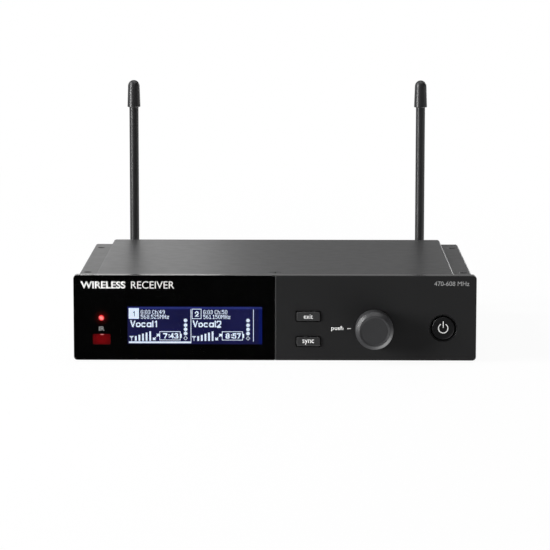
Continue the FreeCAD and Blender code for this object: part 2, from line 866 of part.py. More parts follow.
def top_cover():
    """Top sheet with a folded rear flange and two short side skirts that stand on the rails."""
    mid = cover_sheet / 2
    high = cover_top - mid
    side = cover_half - mid
    flat = side - cover_fold
    back = chassis_depth - mid
    top = [(chassis_front, high), (back, high), (back, cover_top - rear_flange_height)]
    cover = fold_along(top, cover_sheet, cover_fold, -flat, flat)
    skirt = [(flat - 1, high), (side, high), (side, ledge_top + touch)]
    skirt_end = chassis_depth - cover_sheet - cover_fold - 0.5
    for piece in both_sides(fold_across(skirt, cover_sheet, cover_fold, chassis_front, skirt_end)):
        cover = cover.fuse(piece)
    cover = cover.removeSplitter()
    cover = dimpled(cover, cover_sheet, 0, tongue_screw_depth, cover_top, 1)
    for x in cover_screw_places():
        cover = cover.cut(rod(screw_radius + slip, x, cover_screw_z(), rear_face - 1, chassis_depth + 1))
    # the flange keeps clear of the sockets that it would otherwise meet
    for x in xlr_places:
        cover = cover.cut(rod(xlr_flange_radius + slip, x, xlr_z, rear_face - 0.05, chassis_depth + 1))
    for x in jack_places:
        cover = cover.cut(rod(jack_nut_radius + slip, x, jack_z, rear_face - 0.05, chassis_depth + 1))
    return cover


def cover_screws():
    made = [screw("flat", 6.0, 0, tongue_screw_depth, cover_top - 0.1, Vector(0, 0, 1))]
    for x in cover_screw_places():
        made.append(screw("pan", 7.0, x, chassis_depth + 2.0 + touch, cover_screw_z(), Vector(0, 1, 0)))
    return made


def bottom_screws():
    """Flat-headed screws through the floor, into the panel's tongues and the rear panel's flange."""
    down = Vector(0, 0, -1)
    z = pan_under + 0.1
    made = []
    for x in (-bottom_tongue_x, bottom_tongue_x):
        made.append(screw("flat", 5.0, x, tongue_screw_depth, z, down))
    made += [screw("flat", 4.6, x, rear_flange_depth(), z, down) for x in rear_flange_screws()]
    return made


def foot_pads():
    made = []
    reach = cover_half - pad_inset
    for x in (-reach, reach):
        for y in (pad_front, chassis_depth - pad_front):
            pad = post(foot_radius, x, y, 0, foot_thickness)
            made.append(pad.makeFillet(0.4, [e for e in pad.Edges if e.BoundBox.ZMax < 0.1]))
    return made


# ---------------------------------------------------------------- rear panel and its connectors
def rear_panel():
    """Panel inside the rails, with a flange along its foot that is screwed to the floor."""
    gap = 0.1
    middle = (ledge_low + pan_sheet + gap, ledge_top - pan_sheet - gap)
    wide = rail_in - gap
    plate = slab(-wide, wide, *middle, rear_inside, rear_face, 1.2)
    foot = cover_half - pan_sheet - gap
    plate = plate.fuse(slab(-foot, foot, floor_top + gap, middle[1] - 2, rear_inside, rear_face, 0.6))
    head = cover_half - ledge_lip - gap
    plate = plate.fuse(slab(-head, head, middle[0] + 2, cover_under - 0.6, rear_inside, rear_face, 0.6))
    lift = bottom_tongue_low()
    flange = box(-foot + 6, foot - 6, rear_inside - 12, rear_inside + 0.2, lift, lift + pan_sheet)
    plate = plate.fuse(flange)
    for x in rear_flange_screws():
        plate = plate.cut(post(screw_radius + screw_slip, x, rear_flange_depth(), lift - 1, lift + 2))
    y0 = rear_inside - 1
    y1 = rear_face + 1
    cuts = [rod(thread_radius + 0.1, side * antenna_x, antenna_z, y0, y1) for side in (-1, 1)]
    cuts += [rod(xlr_radius + 0.1, x, xlr_z, y0, y1) for x in xlr_places]
    cuts += [rod(jack_thread_radius + 0.1, x, jack_z, y0, y1) for x in jack_places]
    cuts += [rod(screw_radius + screw_slip, x, cover_screw_z(), y0, y1) for x in cover_screw_places()]
    for x, z, size in ((ethernet_x, ethernet_z, ethernet_shell_size()), (dc_x, dc_z, dc_shell_size())):
        cuts.append(centred_slab(x, z, (size[0] + 2 * slip, size[1] + 2 * slip), y0, y1))
    cuts.append(centred_slab(tie_x, dc_z, (tie_width + slip, tie_thickness + slip), y0, y1))
    return plate.cut(Part.makeCompound(cuts)).removeSplitter()


def xlr_shell(x):
    """Round output socket: a flanged shell with the contact carrier at its foot."""
    z = xlr_z
    mouth = rear_face + xlr_flange
    foot = mouth - xlr_depth - 3.0
    shell = rod(xlr_radius, x, z, foot, mouth)
    flange = rod(xlr_flange_radius, x, z, rear_face + touch, mouth)
    flange = flange.makeFillet(0.6, [e for e in edges_at_depth(flange, mouth) if e.Curve.Radius > 12])
    shell = shell.fuse(flange)
    block = box(x - 9, x + 9, foot + 0.5, main_board_end(), board_top + touch, z)
    shell = shell.fuse(block)
    shell = shell.cut(rod(xlr_bore, x, z, mouth - xlr_depth, mouth + 1))
    key = box(x - 1.6, x + 1.6, mouth - xlr_depth, mouth - 3, z - xlr_bore - 0.3, z - xlr_bore + 1.1)
    shell = shell.fuse(key)
    for pin in xlr_pin_places(x):
        shell = shell.cut(rod(xlr_pin_radius + touch, pin[0], pin[1], foot + 1, mouth - xlr_depth + 1))
    return shell.removeSplitter()


def xlr_pin_places(x):
    """Three contacts on a circle, the third one below."""
    made = []
    for angle in (55.0, -55.0, 180.0):
        a = math.radians(angle)
        made.append((x + xlr_pin_circle * math.sin(a), xlr_z + xlr_pin_circle * math.cos(a)))
    return made


def xlr_pins():
    mouth = rear_face + xlr_flange
    made = []
    for x in xlr_places:
        for px, pz in xlr_pin_places(x):
            profile = [(0, 0), (xlr_pin_radius, 0), (xlr_pin_radius, 12.0)]
            profile += [(xlr_pin_radius - 0.5, 12.8), (0, 13.0)]
            made.append(lathe(profile, px, mouth - xlr_depth - 1.5, pz, Vector(0, 1, 0)))
    return made


def jack_body(x):
    """Quarter-inch jack: a moulded body behind the panel with a threaded nose through it."""
    z = jack_z
    foot = rear_face + 2.8 - jack_bore_length - 2.0
    half = jack_bore + 4.75
    body = box(x - half, x + half, foot, rear_inside - slip, board_top + touch, z + half)
    nose = rod(jack_thread_radius, x, z, rear_inside - 1, rear_face + 2.8)
    return body.fuse(nose).cut(rod(jack_bore, x, z, foot + 2.0, rear_face + 4)).removeSplitter()


def jack_nuts():
    made = []
    for x in jack_places:
        start = rear_face + touch
        end = rear_face + 2.6
        ring = rod(jack_nut_radius, x, jack_z, start, end)
        ring = ring.makeFillet(0.5, edges_at_depth(ring, end))
        rim = jack_z + jack_nut_radius
        notch = box(x - 0.8, x + 0.8, start + 0.8, end + 1, rim - 1.1, rim + 2)
        notches = [around(notch, x, jack_z, 60 * step) for step in range(6)]
        bore = rod(jack_thread_radius + screw_slip, x, jack_z, start - 1, end + 1)
        made.append(ring.cut(bore).cut(Part.makeCompound(notches)))
    return made


def ethernet_shell_size():
    return (ethernet_mouth[0] + 2 * ethernet_wall, ethernet_mouth[1] + 6.4)


def ethernet_mouth_z():
    return ethernet_z + 0.9


def ethernet_jack():
    """Shielded network socket with the notch for the plug's latch below its mouth."""
    x = ethernet_x
    y1 = rear_face + 0.6
    shell = centred_slab(x, ethernet_z, ethernet_shell_size(), y1 - 21.0, y1, 0.4)
    mouth_z = ethernet_mouth_z()
    low = mouth_z - ethernet_mouth[1] / 2
    shell = shell.cut(centred_slab(x, mouth_z, ethernet_mouth, y1 - 14.0, y1 + 1))
    shell = shell.cut(centred_slab(x, low, (6.2, 2.4), y1 - 9.0, y1 + 1))
    shell = shell.cut(centred_slab(x, low, (3.4, 4.8), y1 - 9.0, y1 + 1))
    return shell.removeSplitter()


def ethernet_contacts():
    """Eight sprung contacts that slope down into the socket."""
    y1 = rear_face + 0.6
    top = ethernet_mouth_z() + ethernet_mouth[1] / 2
    root = y1 - 13.9
    tip = y1 - 5.0
    made = []
    for number in range(8):
        x = ethernet_x + (number - 3.5) * 1.02
        points = [(root, top - 2.2), (root, top - 1.9), (tip, top - 0.25), (tip, top - 0.55)]
        corners = [Vector(x - 0.2, y, z) for y, z in points]
        made.append(Part.Face(Part.makePolygon(corners + [corners[0]])).extrude(Vector(0.4, 0, 0)))
    return made


def dc_shell_size():
    return (2 * dc_bore + 2.8, 2 * dc_bore + 4.76)


def dc_jack():
    y1 = rear_face + 0.8
    body = centred_slab(dc_x, dc_z, dc_shell_size(), y1 - 14.0, y1, 0.5)
    body = body.cut(rod(dc_bore, dc_x, dc_z, y1 - 9.5, y1 + 1))
    return body.cut(rod(dc_pin_radius + touch, dc_x, dc_z, y1 - 12.0, y1 - 9))


def dc_pin():
    y1 = rear_face + 0.8
    radius = dc_pin_radius
    profile = [(0, 0), (radius, 0), (radius, 9.6), (radius - 0.35, 10.2), (0, 10.3)]
    return lathe(profile, dc_x, y1 - 11.5, dc_z, Vector(0, 1, 0))


def cord_tie_off():
    """Hook beside the power socket that the cord is looped round, open upwards."""
    x = tie_x
    half = tie_width / 2
    low = dc_z - tie_thickness / 2
    high = low + tie_thickness
    start = rear_inside - 1.6
    end = rear_face + tie_reach
    arm = box(x - half, x + half, start, end, low, high)
    finger = box(x - half, x + half, end - tie_thickness, end, low, low + 9)
    hook = arm.fuse(finger).removeSplitter()
    outer = [e for e in hook.Edges if abs(e.tangentAt(0).x) > 0.9 and e.BoundBox.YMin > end - 1]
    hook = hook.makeFillet(0.8, outer)
    clip = box(x - half - 0.9, x + half + 0.9, start, rear_inside - touch, low - 0.6, high + 0.6)
    return hook.fuse(clip).removeSplitter()


# ---------------------------------------------------------------- antenna sockets
def bnc_jack(x):
    """Bayonet socket: threaded through the panel, with two lugs near its mouth."""
    z = antenna_z
    mouth = rear_face + barrel_length
    body = rod(thread_radius, x, z, rear_inside - 3.5, rear_face + thread_length)
    body = body.fuse(rod(7.4, x, z, rear_inside - 3.5, rear_inside - touch))
    body = body.fuse(rod(barrel_radius, x, z, rear_face, mouth))
    lug = Part.makeCylinder(lug_radius, lug_reach, Vector(x, mouth - lug_setback, z), Vector(1, 0, 0))
    for angle in (0, 180):
        body = body.fuse(around(lug, x, z, angle))
    body = body.cut(rod(4.15, x, z, rear_face + 2.0, mouth + 1))
    return body.cut(rod(2.45, x, z, rear_inside - 4, mouth)).removeSplitter()


def bnc_fasteners():
    """Hexagon nut and shakeproof washer of each antenna socket."""
    made = []
    for side in (-1, 1):
        x = side * antenna_x
        start = rear_face + nut_start
        nut = hexagon(nut_across, x, antenna_z, start + touch, start + nut_thickness, 30)
        made.append(nut.cut(rod(thread_radius + screw_slip, x, antenna_z, start - 1, start + 5)))
        made.append(pipe(7.9, thread_radius + screw_slip, x, antenna_z, rear_face + touch, start))
    return made


def bnc_insulators():
    """White insulator with the socket's centre contact, one in each antenna socket."""
    made = []
    for side in (-1, 1):
        x = side * antenna_x
        mouth = rear_face + barrel_length
        core = rod(2.4, x, antenna_z, rear_inside - 3.4, mouth - 1.5)
        made.append(core.cut(rod(0.75, x, antenna_z, mouth - 8.5, mouth)))
    return made


def coupling_ring(x):
    """Knurled bayonet ring. Each lug sits at the locked end of a quarter-turn slot."""
    z = antenna_z
    start = rear_face + ring_start
    end = start + ring_length
    seat = rear_face + barrel_length + 1.0
    ring = rod(ring_radius, x, z, start, end)
    ring = ring.makeFillet(0.5, edges_at_depth(ring, start) + edges_at_depth(ring, end))
    ring = ring.cut(rod(barrel_radius + 0.2, x, z, start - 1, seat))
    ring = ring.cut(rod(5.7, x, z, seat - 0.1, end - 1.5))
    ring = ring.cut(rod(4.65, x, z, end - 2, end + 1))
    lug_depth = rear_face + barrel_length - lug_setback
    slot_half = lug_radius + 0.15
    cuts = []
    for angle in (0, 180):
        slot = rod(ring_radius + 1, x, z, lug_depth - slot_half, lug_depth + slot_half)
        wedge = quarter_wedge(x, z, lug_depth - slot_half - 1, lug_depth + slot_half + 1)
        cuts.append(around(slot.common(wedge), x, z, angle))
        hole = Part.makeCylinder(slot_half, ring_radius + 1, Vector(x, lug_depth, z), Vector(1, 0, 0))
        cuts.append(around(hole, x, z, angle))
        cuts.append(around(hole, x, z, angle - 90))
        entry = box(x + 4, x + lug_reach + 0.2, start - 1, lug_depth, z - slot_half, z + slot_half)
        cuts.append(around(entry, x, z, angle - 90))
    ring = ring.cut(Part.makeCompound(cuts))
    groove = box(x - 0.3, x + 0.3, lug_depth + 2.2, end - 0.9, z + ring_radius - 0.35, z + 9)
    knurl = [around(groove, x, z, 12 * step) for step in range(30)]
    return ring.cut(Part.makeCompound(knurl))


def quarter_wedge(x, z, y0, y1):
    """Quarter of space that the lugs cross, from the locked end to the free end of the slot."""
    reach = 12.0
    corners = [Vector(x, y0, z), Vector(x + reach, y0, z), Vector(x + reach, y0, z + reach)]
    corners += [Vector(x, y0, z + reach), Vector(x, y0, z)]
    return Part.Face(Part.makePolygon(corners)).extrude(Vector(0, y1 - y0, 0))


# ---------------------------------------------------------------- antennas
def antenna_plug(x):
    """Plug body that swivels in the socket, with a fork for the whip behind it."""
    z = antenna_z
    mouth = rear_face + barrel_length
    ring_end = rear_face + ring_start + ring_length
    seat = mouth + 1.0
    body = rod(3.95, x, z, mouth - 6.5, seat + 0.5).cut(rod(2.7, x, z, mouth - 7, mouth - 0.5))
    body = body.fuse(rod(5.4, x, z, seat + 0.1, ring_end - 1.7))
    body = body.fuse(rod(4.4, x, z, seat + 0.1, ring_end + 1))
    root = pivot_depth - fork_radius - slip
    collar = rod(5.4, x, z, ring_end + 0.15, root)
    body = body.fuse(collar)
    body = body.fuse(rod(0.65, x, z, mouth - 7.5, mouth))
    cheek = rod(5.4, x, z, root - 0.5, pivot_depth)
    side = Vector(x - fork_half, pivot_depth, z)
    wheel = Part.makeCylinder(fork_radius, 2 * fork_half, side, Vector(1, 0, 0))
    block = box(x - fork_half, x + fork_half, root - 0.5, pivot_depth, z - fork_radius, z + fork_radius)
    fork = wheel.fuse(block.common(cheek))
    room = box(x - fork_gap / 2, x + fork_gap / 2, root, rear_extent + 1, z - 8, z + 8)
    body = body.fuse(fork.cut(room))
    return body.cut(hinge_rod(x, pin_radius + 0.01)).removeSplitter()


def hinge_rod(x, radius):
    """Rod along X through the fork."""
    start = Vector(x - fork_half, pivot_depth, antenna_z)
    return Part.makeCylinder(radius, 2 * fork_half, start, Vector(1, 0, 0))


def antenna_whip(x):
    """Flexible rod with a moulded knuckle that turns in the fork."""
    z = antenna_z
    half = fork_gap / 2 - 0.15
    side = Vector(x - half, pivot_depth, z)
    knuckle = Part.makeCylinder(fork_radius - 0.2, 2 * half, side, Vector(1, 0, 0))
    neck = box(x - half, x + half, pivot_depth - 2.6, pivot_depth + 2.6, z, z + 8)
    collar = [(0, 5.2), (3.1, 5.2), (3.5, 5.8), (3.5, 12), (whip_radius, 15), (0, 15)]
    top = panel_low + whip_height - antenna_z - 3.5
    knuckle = knuckle.fuse(neck).fuse(lathe(collar, x, pivot_depth, z))
    whip = knuckle.fuse(post(whip_radius, x, pivot_depth, z + 10, z + top))
    bore = Part.makeCylinder(pin_radius + running, 20, Vector(x - 10, pivot_depth, z), Vector(1, 0, 0))
    return whip.cut(bore).removeSplitter()


def antenna_cap(x):
    """Tip cap: slightly tapered, with a rounded end, pushed on to the rod."""
    tip = panel_low + whip_height
    low = tip - cap_length
    upper = cap_radius - 0.35
    outer = [(0, low), (cap_radius - 0.15, low), (cap_radius, low + 0.2)]
    outer += [(upper, tip - upper), (0, tip - upper)]
    body = lathe(outer, x, pivot_depth)
    body = body.fuse(Part.makeSphere(upper, Vector(x, pivot_depth, tip - upper)))
    return body.cut(post(whip_radius + touch, x, pivot_depth, low - 1, tip - 3.4)).removeSplitter()


# ---------------------------------------------------------------- writing
def save(name, shapes):
    shapes = shapes if isinstance(shapes, list) else [shapes]
    solids = [solid for shape in shapes for solid in shape.Solids]
    moved = []
    for solid in solids:
        copy = solid.copy()
        copy.translate(origin_shift)
        moved.append(copy)
    whole = moved[0] if len(moved) == 1 else Part.makeCompound(moved)
    whole.exportStep(os.path.join("parts", name + ".step"))
    print(f"{name}: {len(moved)} solids, valid {all(s.isValid() for s in moved)}")


def build():
    os.makedirs("parts", exist_ok=True)
    save("front_bezel", front_bezel())
    save("display_window", display_window())
    save("window_mask", window_mask())
    save("status_light_pipe", light_pipe())
    save("ir_window", ir_window())
    save("lcd_panel", lcd_panel())
    save("lcd_backlight", lcd_backlight())
    save("lcd_frame", lcd_frame())
    switches = []
    for name, z in zip(("exit", "sync"), key_heights()):
        save(name + "_button", key_cap(z))
        save(name + "_switch_plunger", switch_plunger(key_x, z, plunger_proud))
        switches.append(switch_body(key_x, z, key_travel))
    save("power_button", power_cap())
    save("power_switch_plunger", switch_plunger(power_x, control_z, power_plunger_proud()))
    switches.append(switch_body(power_x, control_z, power_travel))
    save("switch_bodies", switches)
    save("encoder_knob", encoder_knob())
    save("encoder_shaft", encoder_shaft())
    save("encoder_body", encoder_body())
    save("encoder_plunger", encoder_plunger())
    save("control_board", control_board())
    save("control_board_lamps", control_board_lamps())
    save("main_board", main_board())
    save("board_standoffs", board_standoffs())
    save("board_screws", board_screws())
    save("rf_shields", rf_shields())
    save("board_components", board_components())
    save("ribbon_connectors", ribbon_connectors())
    save("ribbon_cable", ribbon_cable())
    save("antenna_leads", antenna_leads())
    save("chassis_pan", chassis_pan())
    save("top_cover", top_cover())
    save("cover_screws", cover_screws())
    save("bottom_screws", bottom_screws())
    save("foot_pads", foot_pads())
    save("rear_panel", rear_panel())
    for number, x in enumerate(xlr_places, 1):
        save(f"xlr_{number}_shell", xlr_shell(x))
    save("xlr_pins", xlr_pins())
    for number, x in enumerate(jack_places, 1):
        save(f"jack_{number}_body", jack_body(x))
    save("jack_nuts", jack_nuts())
    save("ethernet_jack", ethernet_jack())
    save("ethernet_contacts", ethernet_contacts())
    save("dc_jack", dc_jack())
    save("dc_pin", dc_pin())
    save("cord_tie_off", cord_tie_off())
    save("bnc_fasteners", bnc_fasteners())
    save("bnc_insulators", bnc_insulators())
    for letter, x in (("a", -antenna_x), ("b", antenna_x)):
        save(f"bnc_{letter}_jack", bnc_jack(x))
        save(f"antenna_{letter}_ring", coupling_ring(x))
        save(f"antenna_{letter}_plug", antenna_plug(x))
        save(f"antenna_{letter}_pin", hinge_rod(x, pin_radius))
        save(f"antenna_{letter}_whip", antenna_whip(x))
        save(f"antenna_{letter}_cap", antenna_cap(x))


build()
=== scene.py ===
import json
import math

import bmesh
import bpy
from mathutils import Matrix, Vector


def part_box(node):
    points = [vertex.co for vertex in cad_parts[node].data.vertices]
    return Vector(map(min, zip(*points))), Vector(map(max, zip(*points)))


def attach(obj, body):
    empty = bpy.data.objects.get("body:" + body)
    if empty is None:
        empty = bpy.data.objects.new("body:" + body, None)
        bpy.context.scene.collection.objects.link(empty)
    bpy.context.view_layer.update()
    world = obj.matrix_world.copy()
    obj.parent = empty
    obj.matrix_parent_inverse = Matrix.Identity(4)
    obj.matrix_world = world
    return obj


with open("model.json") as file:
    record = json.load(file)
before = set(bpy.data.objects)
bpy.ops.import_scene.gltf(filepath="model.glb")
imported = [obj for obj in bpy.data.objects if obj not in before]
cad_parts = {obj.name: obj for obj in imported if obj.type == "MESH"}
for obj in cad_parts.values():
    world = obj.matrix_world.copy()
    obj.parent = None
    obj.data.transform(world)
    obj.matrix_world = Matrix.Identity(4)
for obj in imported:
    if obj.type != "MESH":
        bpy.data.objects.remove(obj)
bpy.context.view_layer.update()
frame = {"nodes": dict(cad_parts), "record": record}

# Looks of a half-rack wireless receiver. Lengths in the functions below are in millimetres, measured
# from the middle of the panel (x), from its face backwards (depth) and from its lower edge (z).
MM = 0.001
INK = 0.02  # thickness of printed ink
SUNK = 0.005  # how far printed marks reach into the face under them
face_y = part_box("display_window")[0].y
base_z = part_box("front_bezel")[0].z


def at(x, depth, z):
    """Point in the row frame."""
    return Vector((x * MM, face_y + depth * MM, base_z + z * MM))


def panel_place(name):
    """Middle of a node: across the panel and above its lower edge."""
    low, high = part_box(name)
    middle = (low + high) / 2
    return middle.x / MM, (middle.z - base_z) / MM


def panel_depth(name):
    """How far a node's front lies behind the panel's face."""
    return (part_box(name)[0].y - face_y) / MM


lamp_x, lamp_z = panel_place("status_light_pipe")
power_x, power_z = panel_place("power_button")
power_bevel_reach = 6.82  # outer edge of the bevel in the panel round the power key
ir_x, ir_z = panel_place("ir_window")
display_x, display_z = panel_place("lcd_panel")
display_width = 65.9
display_height = 18.5
display_top = display_z + display_height / 2
display_right = display_x + display_width / 2


# ---------------------------------------------------------------- materials
class Finish:
    """A Principled material whose patterns are laid out in millimetres of the row frame."""

    def __init__(self, name, color, roughness, **sockets):
        self.material = bpy.data.materials.new(name)
        self.material.use_nodes = True
        self.tree = self.material.node_tree
        self.shader = self.tree.nodes["Principled BSDF"]
        self.set(Base_Color=(*color, 1.0), Roughness=roughness, **sockets)
        self.normal = None
        coords = self.add("ShaderNodeTexCoord")
        self.place = self.math_vector("MULTIPLY", coords.outputs["Object"], (1 / MM,) * 3)
        parts = self.add("ShaderNodeSeparateXYZ")
        self.link(self.place, parts.inputs[0])
        self.x, self.y, self.z = parts.outputs

    def set(self, **sockets):
        for key, value in sockets.items():
            self.shader.inputs[key.replace("_", " ")].default_value = value

    def add(self, kind):
        return self.tree.nodes.new(kind)

    def link(self, source, target):
        self.tree.links.new(source, target)

    def feed(self, socket, value):
        if isinstance(value, bpy.types.NodeSocket):
            self.link(value, socket)
        else:
            socket.default_value = value

    def math(self, operation, a, b=0.0):
        node = self.add("ShaderNodeMath")
        node.operation = operation
        self.feed(node.inputs[0], a)
        self.feed(node.inputs[1], b)
        return node.outputs[0]

    def math_vector(self, operation, a, b):
        node = self.add("ShaderNodeVectorMath")
        node.operation = operation
        self.feed(node.inputs[0], a)
        self.feed(node.inputs[1], b)
        return node.outputs[0]

    def noise(self, size, detail=2.0, roughness=0.5, stretch=(1, 1, 1)):
        """Cloudy value around 0.5, with features of this size."""
        node = self.add("ShaderNodeTexNoise")
        self.link(self.math_vector("MULTIPLY", self.place, stretch), node.inputs["Vector"])
        node.inputs["Scale"].default_value = 1.0 / size
        node.inputs["Detail"].default_value = detail
        node.inputs["Roughness"].default_value = roughness
        return node.outputs["Fac"]

    def cells(self, size, feature="F1"):
        node = self.add("ShaderNodeTexVoronoi")
        node.feature = feature
        self.link(self.place, node.inputs["Vector"])
        node.inputs["Scale"].default_value = 1.0 / size
        return node.outputs["Distance"]

    def ramp(self, value, start, end, low=0.0, high=1.0):
        """Goes from low to high as value goes from start to end."""
        node = self.add("ShaderNodeMapRange")
        node.interpolation_type = "SMOOTHSTEP"
        self.feed(node.inputs["Value"], value)
        for key, number in (("From Min", start), ("From Max", end), ("To Min", low), ("To Max", high)):
            node.inputs[key].default_value = number
        return node.outputs["Result"]

    def mix(self, share, first, second):
        node = self.add("ShaderNodeMix")
        node.data_type = "RGBA"
        self.feed(node.inputs["Factor"], share)
        for socket, value in ((node.inputs[6], first), (node.inputs[7], second)):
            self.feed(socket, value if isinstance(value, bpy.types.NodeSocket) else (*value, 1.0))
        return node.outputs[2]

    def color(self, value):
        self.link(value, self.shader.inputs["Base Color"])

    def rough(self, value):
        self.link(value, self.shader.inputs["Roughness"])

    def bump(self, height, pattern):
        """Raises the surface by height where the pattern is 1."""
        node = self.add("ShaderNodeBump")
        node.inputs["Distance"].default_value = height * MM
        self.link(pattern, node.inputs["Height"])
        if self.normal is not None:
            self.link(self.normal, node.inputs["Normal"])
        self.normal = node.outputs[0]
        self.link(self.normal, self.shader.inputs["Normal"])

    def round_edges(self, radius):
        """Shades sharp edges as if they were broken by this radius."""
        node = self.add("ShaderNodeBevel")
        node.samples = 4
        node.inputs["Radius"].default_value = radius * MM
        self.normal = node.outputs[0]
        self.link(self.normal, self.shader.inputs["Normal"])

    def glow(self, color, strength):
        self.feed(self.shader.inputs["Emission Color"], color)
        self.feed(self.shader.inputs["Emission Strength"], strength)

    def near(self, x, z, x_size=1.0, z_size=1.0):
        """Distance from a place on the panel, in ellipses of these half sizes."""
        across = self.math("DIVIDE", self.math("SUBTRACT", self.x, x), x_size)
        upward = self.math("DIVIDE", self.math("SUBTRACT", self.z, base_z / MM + z), z_size)
        squares = [self.math("MULTIPLY", part, part) for part in (across, upward)]
        return self.math("SQRT", self.math("ADD", *squares))


def moulded(name, color, roughness=0.52, grain=0.45, depth=0.012, edge=0.0, **sockets):
    """Spark-eroded moulded plastic: fine grain, faint cloudiness and a little variation in gloss."""
    f = Finish(name, color, roughness, **sockets)
    if edge:
        f.round_edges(edge)
    cloud = f.noise(22.0, 3.0)
    f.color(f.mix(cloud, [c * 0.86 for c in color], [c * 1.14 for c in color]))
    fine = f.noise(grain, 3.0, 0.6)
    mixed = f.math("ADD", f.math("MULTIPLY", fine, 0.5), f.math("MULTIPLY", cloud, 0.5))
    f.rough(f.ramp(mixed, 0.3, 0.7, roughness - 0.06, roughness + 0.06))
    f.bump(depth, fine)
    return f


def panel_plastic():
    """Matt panel, with a polished bevel round the power key and smooth upper edges."""
    matt = 0.5
    polished = 0.2
    f = moulded("panel_matt_plastic", (0.0132, 0.0132, 0.0138), matt)
    outside = f.ramp(f.near(power_x, power_z), power_bevel_reach, power_bevel_reach + 0.08)
    geometry = f.add("ShaderNodeNewGeometry")
    parts = f.add("ShaderNodeSeparateXYZ")
    f.link(geometry.outputs["True Normal"], parts.inputs[0])
    upper_edge = f.ramp(parts.outputs[2], 0.90, 0.97, 1.0, 0.4)
    grain = f.ramp(f.noise(0.45, 3.0, 0.6), 0.3, 0.7, matt - 0.06, matt + 0.06)
    smoothed = f.math("MULTIPLY", f.math("MULTIPLY", grain, upper_edge), outside)
    f.rough(f.math("MAXIMUM", smoothed, polished))
    return f


def powder_coat(name, color, roughness=0.4, edge=0.12):
    """Powder-coated steel: orange peel over a fine grain, with sparse specks."""
    f = Finish(name, color, roughness)
    f.round_edges(edge)
    cloud = f.noise(35.0, 3.0)
    speck = f.ramp(f.cells(1.1), 0.0, 0.16, 1.0, 0.0)
    shade = f.mix(cloud, [c * 0.95 for c in color], [c * 1.05 for c in color])
    f.color(f.mix(f.math("MULTIPLY", speck, 0.2), shade, [c * 1.9 + 0.01 for c in color]))
    f.rough(f.ramp(f.noise(6.0, 4.0), 0.3, 0.7, roughness - 0.012, roughness + 0.014))
    f.bump(0.0005, f.noise(1.6, 2.0))
    f.bump(0.0012, f.noise(0.45, 2.0, 0.6))
    return f


def plated(name, color, roughness=0.24, edge=0.1):
    """Plated metal with fine machining marks and slight tarnish."""
    f = Finish(name, color, roughness, Metallic=1.0)
    f.round_edges(edge)
    stain = f.noise(2.5, 4.0)
    f.color(f.mix(stain, [c * 0.8 for c in color], [min(1.0, c * 1.1) for c in color]))
    marks = f.noise(0.35, 3.0, 0.6)
    f.rough(f.ramp(marks, 0.25, 0.75, roughness - 0.07, roughness + 0.09))
    f.bump(0.004, marks)
    return f


def rubbery(name, color, roughness=0.6, grain=0.35, edge=0.1):
    """Soft rubber or elastomer: matt, with a dusty bloom."""
    f = Finish(name, color, roughness)
    f.round_edges(edge)
    f.set(Sheen_Weight=0.12, Sheen_Roughness=0.5)
    bloom = f.noise(5.0, 4.0)
    f.color(f.mix(bloom, [c * 0.85 for c in color], [c * 1.2 + 0.002 for c in color]))
    fine = f.noise(grain, 2.0, 0.6)
    f.rough(f.ramp(fine, 0.3, 0.7, roughness - 0.05, roughness + 0.07))
    f.bump(0.008, fine)
    return f


def printed(name, color, glow=0.0):
    """Screen-printed ink, slightly uneven, with an optional painted glow that brightens it."""
    f = Finish(name, color, 0.45)
    patchy = f.noise(0.5, 3.0, 0.6)
    f.color(f.mix(patchy, [c * 0.9 for c in color], color))
    f.rough(f.ramp(patchy, 0.3, 0.7, 0.4, 0.55))
    # Painted glow: emission on the ink, which is no lamp.
    if glow:
        f.glow((*color, 1.0), glow)
    return f


def clear_pane():
    """Polished window with faint smears."""
    f = Finish("clear_window", (1.0, 1.0, 1.0), 0.02, IOR=1.5, Transmission_Weight=1.0)
    smear = f.noise(14.0, 4.0, 0.6, (1.0, 1.0, 2.0))
    f.rough(f.ramp(smear, 0.45, 0.8, 0.015, 0.07))
    return f


def mask_film():
    """Black film, with the status lamp's light bleeding into it."""
    f = Finish("black_film", (0.002, 0.002, 0.0023), 0.4, Specular_IOR_Level=0.02)
    f.color(f.mix(f.noise(9.0, 3.0), (0.0016, 0.0016, 0.0019), (0.003, 0.003, 0.0034)))
    bleed = f.ramp(f.near(lamp_x, lamp_z, 5.0, 5.0), 0.2, 1.0, 1.0, 0.0)
    strength = f.math("MULTIPLY", f.math("MULTIPLY", bleed, bleed), 0.035)
    f.glow((1.0, 0.02, 0.01, 1.0), strength)
    return f


def lamp_glow():
    """Lit light pipe, almost white in the middle."""
    f = Finish("red_light_pipe", (0.5, 0.01, 0.01), 0.25)
    ring = f.ramp(f.near(lamp_x, lamp_z), 0.35, 1.3)
    core = f.mix(ring, (1.0, 0.42, 0.4), (0.9, 0.012, 0.016))
    f.glow(core, f.ramp(f.noise(0.4, 2.0), 0.3, 0.7, 0.6, 0.68))
    return f


def ir_filter():
    """Deep red filter with a painted glow, brightest in its middle, and a painted highlight near its top
    edge.
    """
    f = Finish("red_filter", (0.05, 0.001, 0.002), 0.12)
    low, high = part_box("ir_window")
    half_x = (high.x - low.x) / 2 / MM
    half_z = (high.z - low.z) / 2 / MM
    # Painted glow: emission brightest in the middle of the filter, with cloudy variation.
    middle = f.ramp(f.near(ir_x, ir_z + 0.3, half_x, half_z), 0.2, 1.1, 1.0, 0.25)
    painted_glow = f.math("MULTIPLY", middle, f.ramp(f.noise(1.6, 3.0), 0.25, 0.75, 0.8, 1.15))
    # Painted highlight: a small bright spot near the filter's top edge.
    painted_glint = f.ramp(f.near(ir_x + 0.2, ir_z + 2.35, 1.1, 0.3), 0.5, 1.2, 1.0, 0.0)
    shade = f.mix(painted_glint, (1.0, 0.004, 0.006), (1.0, 0.35, 0.33))
    f.glow(shade, f.math("ADD", f.math("MULTIPLY", painted_glow, 0.10), f.math("MULTIPLY", painted_glint, 0.5)))
    return f


